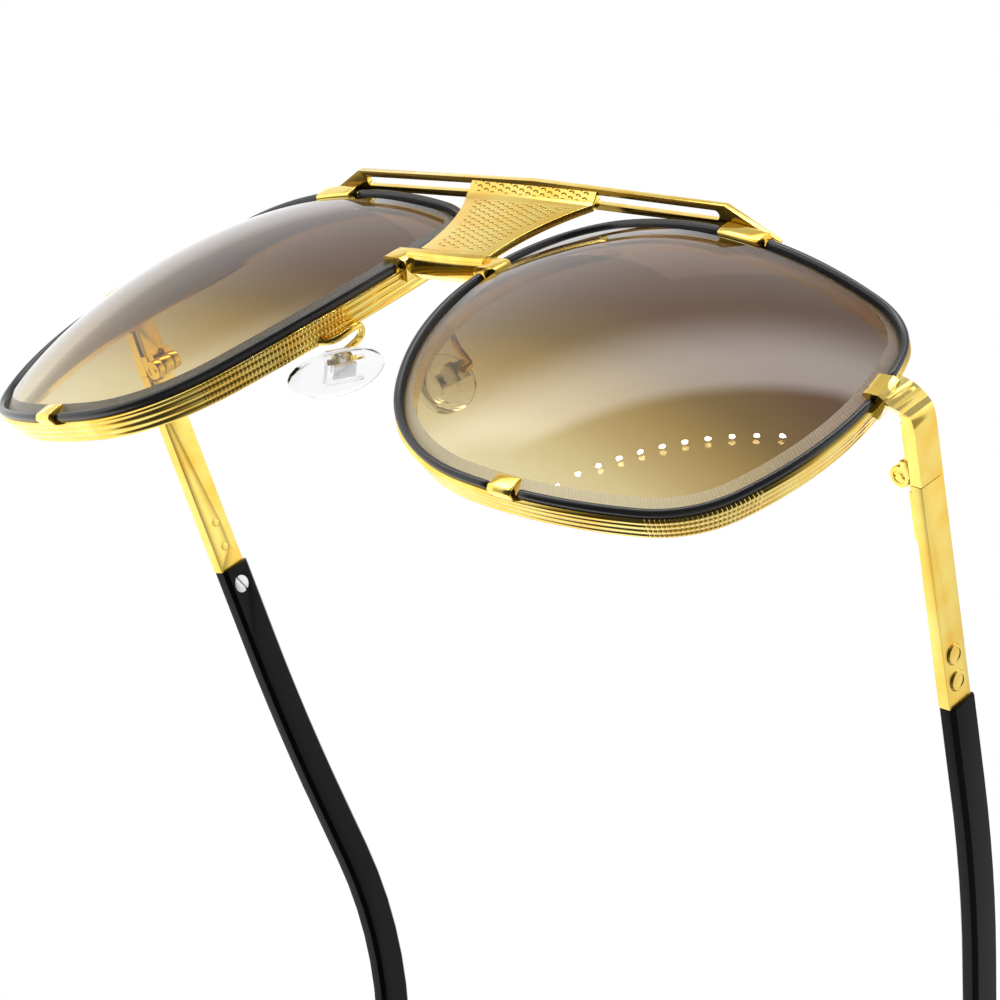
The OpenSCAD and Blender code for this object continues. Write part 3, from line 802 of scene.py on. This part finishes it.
def make_lenses():
    """The ground bevel and the edge are spun, and both sides are closed with a dome."""
    edge = SEAT - LENS_GAP
    inner = edge - BEVEL_WIDTH
    section = [
        (inner, 0),
        (edge - LENS_EDGE, -BEVEL_DROP),
        (edge, -LENS_EDGE_DROP),
        (edge, -LENS_THICK),
        (inner, -LENS_THICK),
    ]
    lens = spun("lens", section, WHOLE, closed=True)
    rings = []
    for height in (0, -LENS_THICK):
        goal = section_at(WHOLE[0][0], WHOLE[0][1], [(inner, height)])[0].length
        rings.append([v.index for v in lens.data.vertices if abs(v.co.length - goal) < RADIUS_SAME])
    front, back = rings
    inner_wall = set(front + back)
    edit(lens, "FACE")
    bpy.ops.mesh.select_all(action="DESELECT")
    done()
    for face in lens.data.polygons:
        face.select = inner_wall.issuperset(face.vertices)
        on_bevel = not face.select and any(v in front for v in face.vertices)
        face.material_index = 1 if on_bevel else 0
    edit(lens, "FACE")
    bpy.ops.mesh.delete(type="FACE")
    done()
    close_dome(lens, "front", front, LENS_CURVE * MM)
    close_dome(lens, "back", back, (LENS_CURVE - LENS_THICK) * MM)
    on_dome = {v.index for v in lens.data.vertices if abs(v.co.length - LENS_CURVE * MM) < RADIUS_SAME}
    for face in lens.data.polygons:
        if on_dome.issuperset(face.vertices):
            face.material_index = 0
    both_sides(lens, [LENS, FROST], LENS_SMOOTH)


make_rims()
make_trims()
make_lenses()


# Pieces that keep the shape of their solids, with eased edges

ARM_NODES = ("temple", "hinge_rear", "tip", "tip_rivet", "temple_screws")
PAD_NODES = ("pad", "pad_insert")


def body_of(name):
    stem, _, side = name.rpartition("_")
    if stem in ARM_NODES:
        return "temple_arm_" + side
    if stem in PAD_NODES:
        return "nose_pad_" + side
    return "front"


def eased(name, material, width, shrink=1):
    """A merged copy of the solid whose sharp edges are rounded by the width in millimetres."""
    piece = copy_of(nodes[name], name + "_detail")
    bpy.ops.object.parent_clear(type="CLEAR_KEEP_TRANSFORM")
    settle(piece)
    edit(piece)
    everything()
    bpy.ops.mesh.remove_doubles(threshold=SOLID_SAME)
    everything()
    bpy.ops.mesh.dissolve_limited(angle_limit=math.radians(FLAT_ANGLE))
    done()
    if shrink < 1:
        middle = sum((Vector(c) for c in piece.bound_box), Vector()) / 8
        edit(piece)
        everything()
        bpy.ops.transform.resize(value=(shrink,) * 3, center_override=middle)
        done()
    if width:
        apply_modifier(
            piece,
            "BEVEL",
            width=width * MM,
            segments=EASE_SEGMENTS,
            limit_method="ANGLE",
            angle_limit=math.radians(EASE_ANGLE),
        )
    else:
        apply_modifier(piece, "SUBSURF", levels=2)
    smooth(piece, SMOOTH_ANGLE)
    wear(piece, [material])
    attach(piece, body_of(name))
    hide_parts(name)


eased("brow_bar", BAR_GOLD, 0.12)
eased("bridge_plate", PLATE_GOLD, 0.12)
eased("bridge", GOLD, 0.16)
for side in SIDES:
    eased("brow_claw_" + side, GOLD, 0.14)
    eased("bottom_claw_" + side, GOLD, 0.18)
    eased("endpiece_" + side, GOLD, 0.28)
    eased("hinge_front_" + side, GOLD, 0.1)
    eased("hinge_rear_" + side, GOLD, 0.1)
    eased("hinge_screw_" + side, GOLD, 0.04)
    eased("temple_" + side, SOFT_GOLD, 0.22)
    eased("temple_screws_" + side, SOFT_GOLD, 0.05)
    eased("tip_" + side, TIP, 0.16)
    eased("tip_rivet_" + side, SILVER, 0.05)
    eased("pad_arm_" + side, GOLD, 0)
    eased("pad_box_" + side, SILVER, 0.12)
    eased("pad_insert_" + side, SILVER, 0.08, shrink=0.6)
    eased("pad_screw_" + side, SILVER, 0.05)
    eased("pad_" + side, CLEAR, 0.4)


# Light, floor and camera

CAMERA_PLACE = (0.41737, -0.277937, -0.325481)
CAMERA_TURN = (143.5771, -41.6147, 18.7753)
CAMERA_LENGTH = 173.209
FILM_WIDTH = 36

# Strengths of the tent of light, and the directions its darker side and its bright band follow
TENT = 0.62
TENT_LEFT = 0.72
TENT_RIGHT = 0.7
TENT_BEHIND = 0.3
TENT_BAND = 4.7
LOW_RIGHT = (0.655, 0.05, -0.755)
BAND_WAY = (-0.7585, 0.131, 0.6385)

KEY_PLACE = Vector((-0.5, -0.3, 0.9))
KEY_AIM = Vector((0, 0, 0.02))
KEY_SIZE = 0.5
KEY_POWER = 2

LAMPS = 13
LAMP_RADIUS = 0.004
LAMP_POWER = 0.04
ROW_START = Vector((-39, -457.5, -16.4))
ROW_WAY = Vector((163, -52.5, 197.7))
ROW_BOW = Vector((17.4, 86.9, 7.2))

FLOOR_RADIUS = 6
FLOOR_DROP = 0.0003


def white_world():
    """White behind the piece, and a soft tent that is brighter to the left and dark low on the right."""
    world = bpy.data.worlds.new("studio")
    bpy.context.scene.world = world
    world.use_nodes = True
    w = Shades(world.node_tree)
    path = w.node("ShaderNodeLightPath")
    seen = path[0].math("MAXIMUM", path[6])
    x, y, z = w.split(w.node("ShaderNodeTexCoord")[0])[:3]

    def toward(way):
        return x * way[0] + y * way[1] + z * way[2]

    right = x.step(0.1, 0.5)
    behind = y.step(0.15, 0.5)
    tent = TENT + (-x).step(-0.1, 0.5) * TENT_LEFT + right * (1 - behind) * z.step(0.1, 0.5) * TENT_RIGHT
    tent = tent * (1 - toward(LOW_RIGHT).step(0.15, 0.5) * 0.93) + right * behind * TENT_BEHIND
    # What the lenses mirror: dim ahead of them, with one bright band across
    ahead = (-y).step(0.35, 0.8) * z.step(-0.25, 0.05)
    across = toward(BAND_WAY)
    below_band = 1 - across.step(0.08, 0.16)
    tent = tent * (1 - ahead * 0.55) * (1 - ahead * below_band * 0.35)
    tent = tent * (1 - z.step(0.15, 0.35) * (-y).step(0.05, 0.2) * 0.27)
    band = across.step(0.165, 0.25) * (1 - across.step(0.3, 0.6)) * ahead * z.step(-0.05, 0.1)
    white = (1, 1, 1, 1)
    soft = w.node("ShaderNodeBackground", None, [white, tent + band * TENT_BAND])[0]
    plain = w.node("ShaderNodeBackground", None, [white, 1])[0]
    mixed = w.node("ShaderNodeMixShader", None, [seen, soft, plain])[0]
    w.node("ShaderNodeOutputWorld", None, [mixed])


def pale_floor():
    """A floor that shows from above and is clear from below."""
    deselect()
    bpy.ops.mesh.primitive_circle_add(
        vertices=64, radius=FLOOR_RADIUS, fill_type="NGON", location=(0, 0, -FLOOR_DROP)
    )
    floor = bpy.context.object
    floor.name = "floor"
    p = Paint("pale_floor")
    colour = p.mix(p.noise(0.06, 2), (0.93, 0.93, 0.93), (0.96, 0.96, 0.96))
    solid = p.principled(Base_Color=colour, Roughness=0.6)
    clear = p.node("ShaderNodeBsdfTransparent")[0]
    from_below = p.node("ShaderNodeNewGeometry")[6]
    both = p.node("ShaderNodeMixShader", None, [from_below, solid, clear])[0]
    floor.data.materials.append(p.shown(both))
    settle(floor)
    floor.visible_glossy = False


def lamp(name, kind, power, place):
    light = bpy.data.lights.new(name, kind)
    light.energy = power
    holder = bpy.data.objects.new(name, light)
    holder.location = place
    bpy.context.scene.collection.objects.link(holder)
    return holder


def lamp_row():
    """Small round lamps in a row, which the right lens mirrors as points of light."""
    for k in range(LAMPS):
        t = 0.1 * k - 0.07
        place = (ROW_START + ROW_WAY * t + ROW_BOW * t * t) * MM
        lamp(f"point_{k}", "POINT", LAMP_POWER, place).data.shadow_soft_size = LAMP_RADIUS


def soft_box():
    box = lamp("key_light", "AREA", KEY_POWER, KEY_PLACE)
    box.data.size = KEY_SIZE
    box.rotation_euler = (KEY_AIM - KEY_PLACE).to_track_quat("-Z", "Y").to_euler()
    box.visible_glossy = False


def camera():
    data = bpy.data.cameras.new("view")
    data.lens = CAMERA_LENGTH
    data.sensor_width = FILM_WIDTH
    data.clip_start = 0.01
    eye = bpy.data.objects.new("view", data)
    eye.location = CAMERA_PLACE
    eye.rotation_euler = [math.radians(a) for a in CAMERA_TURN]
    bpy.context.scene.collection.objects.link(eye)
    bpy.context.scene.camera = eye


white_world()
pale_floor()
soft_box()
lamp_row()
camera()
bpy.context.scene.view_settings.view_transform = "Standard"
deselect()
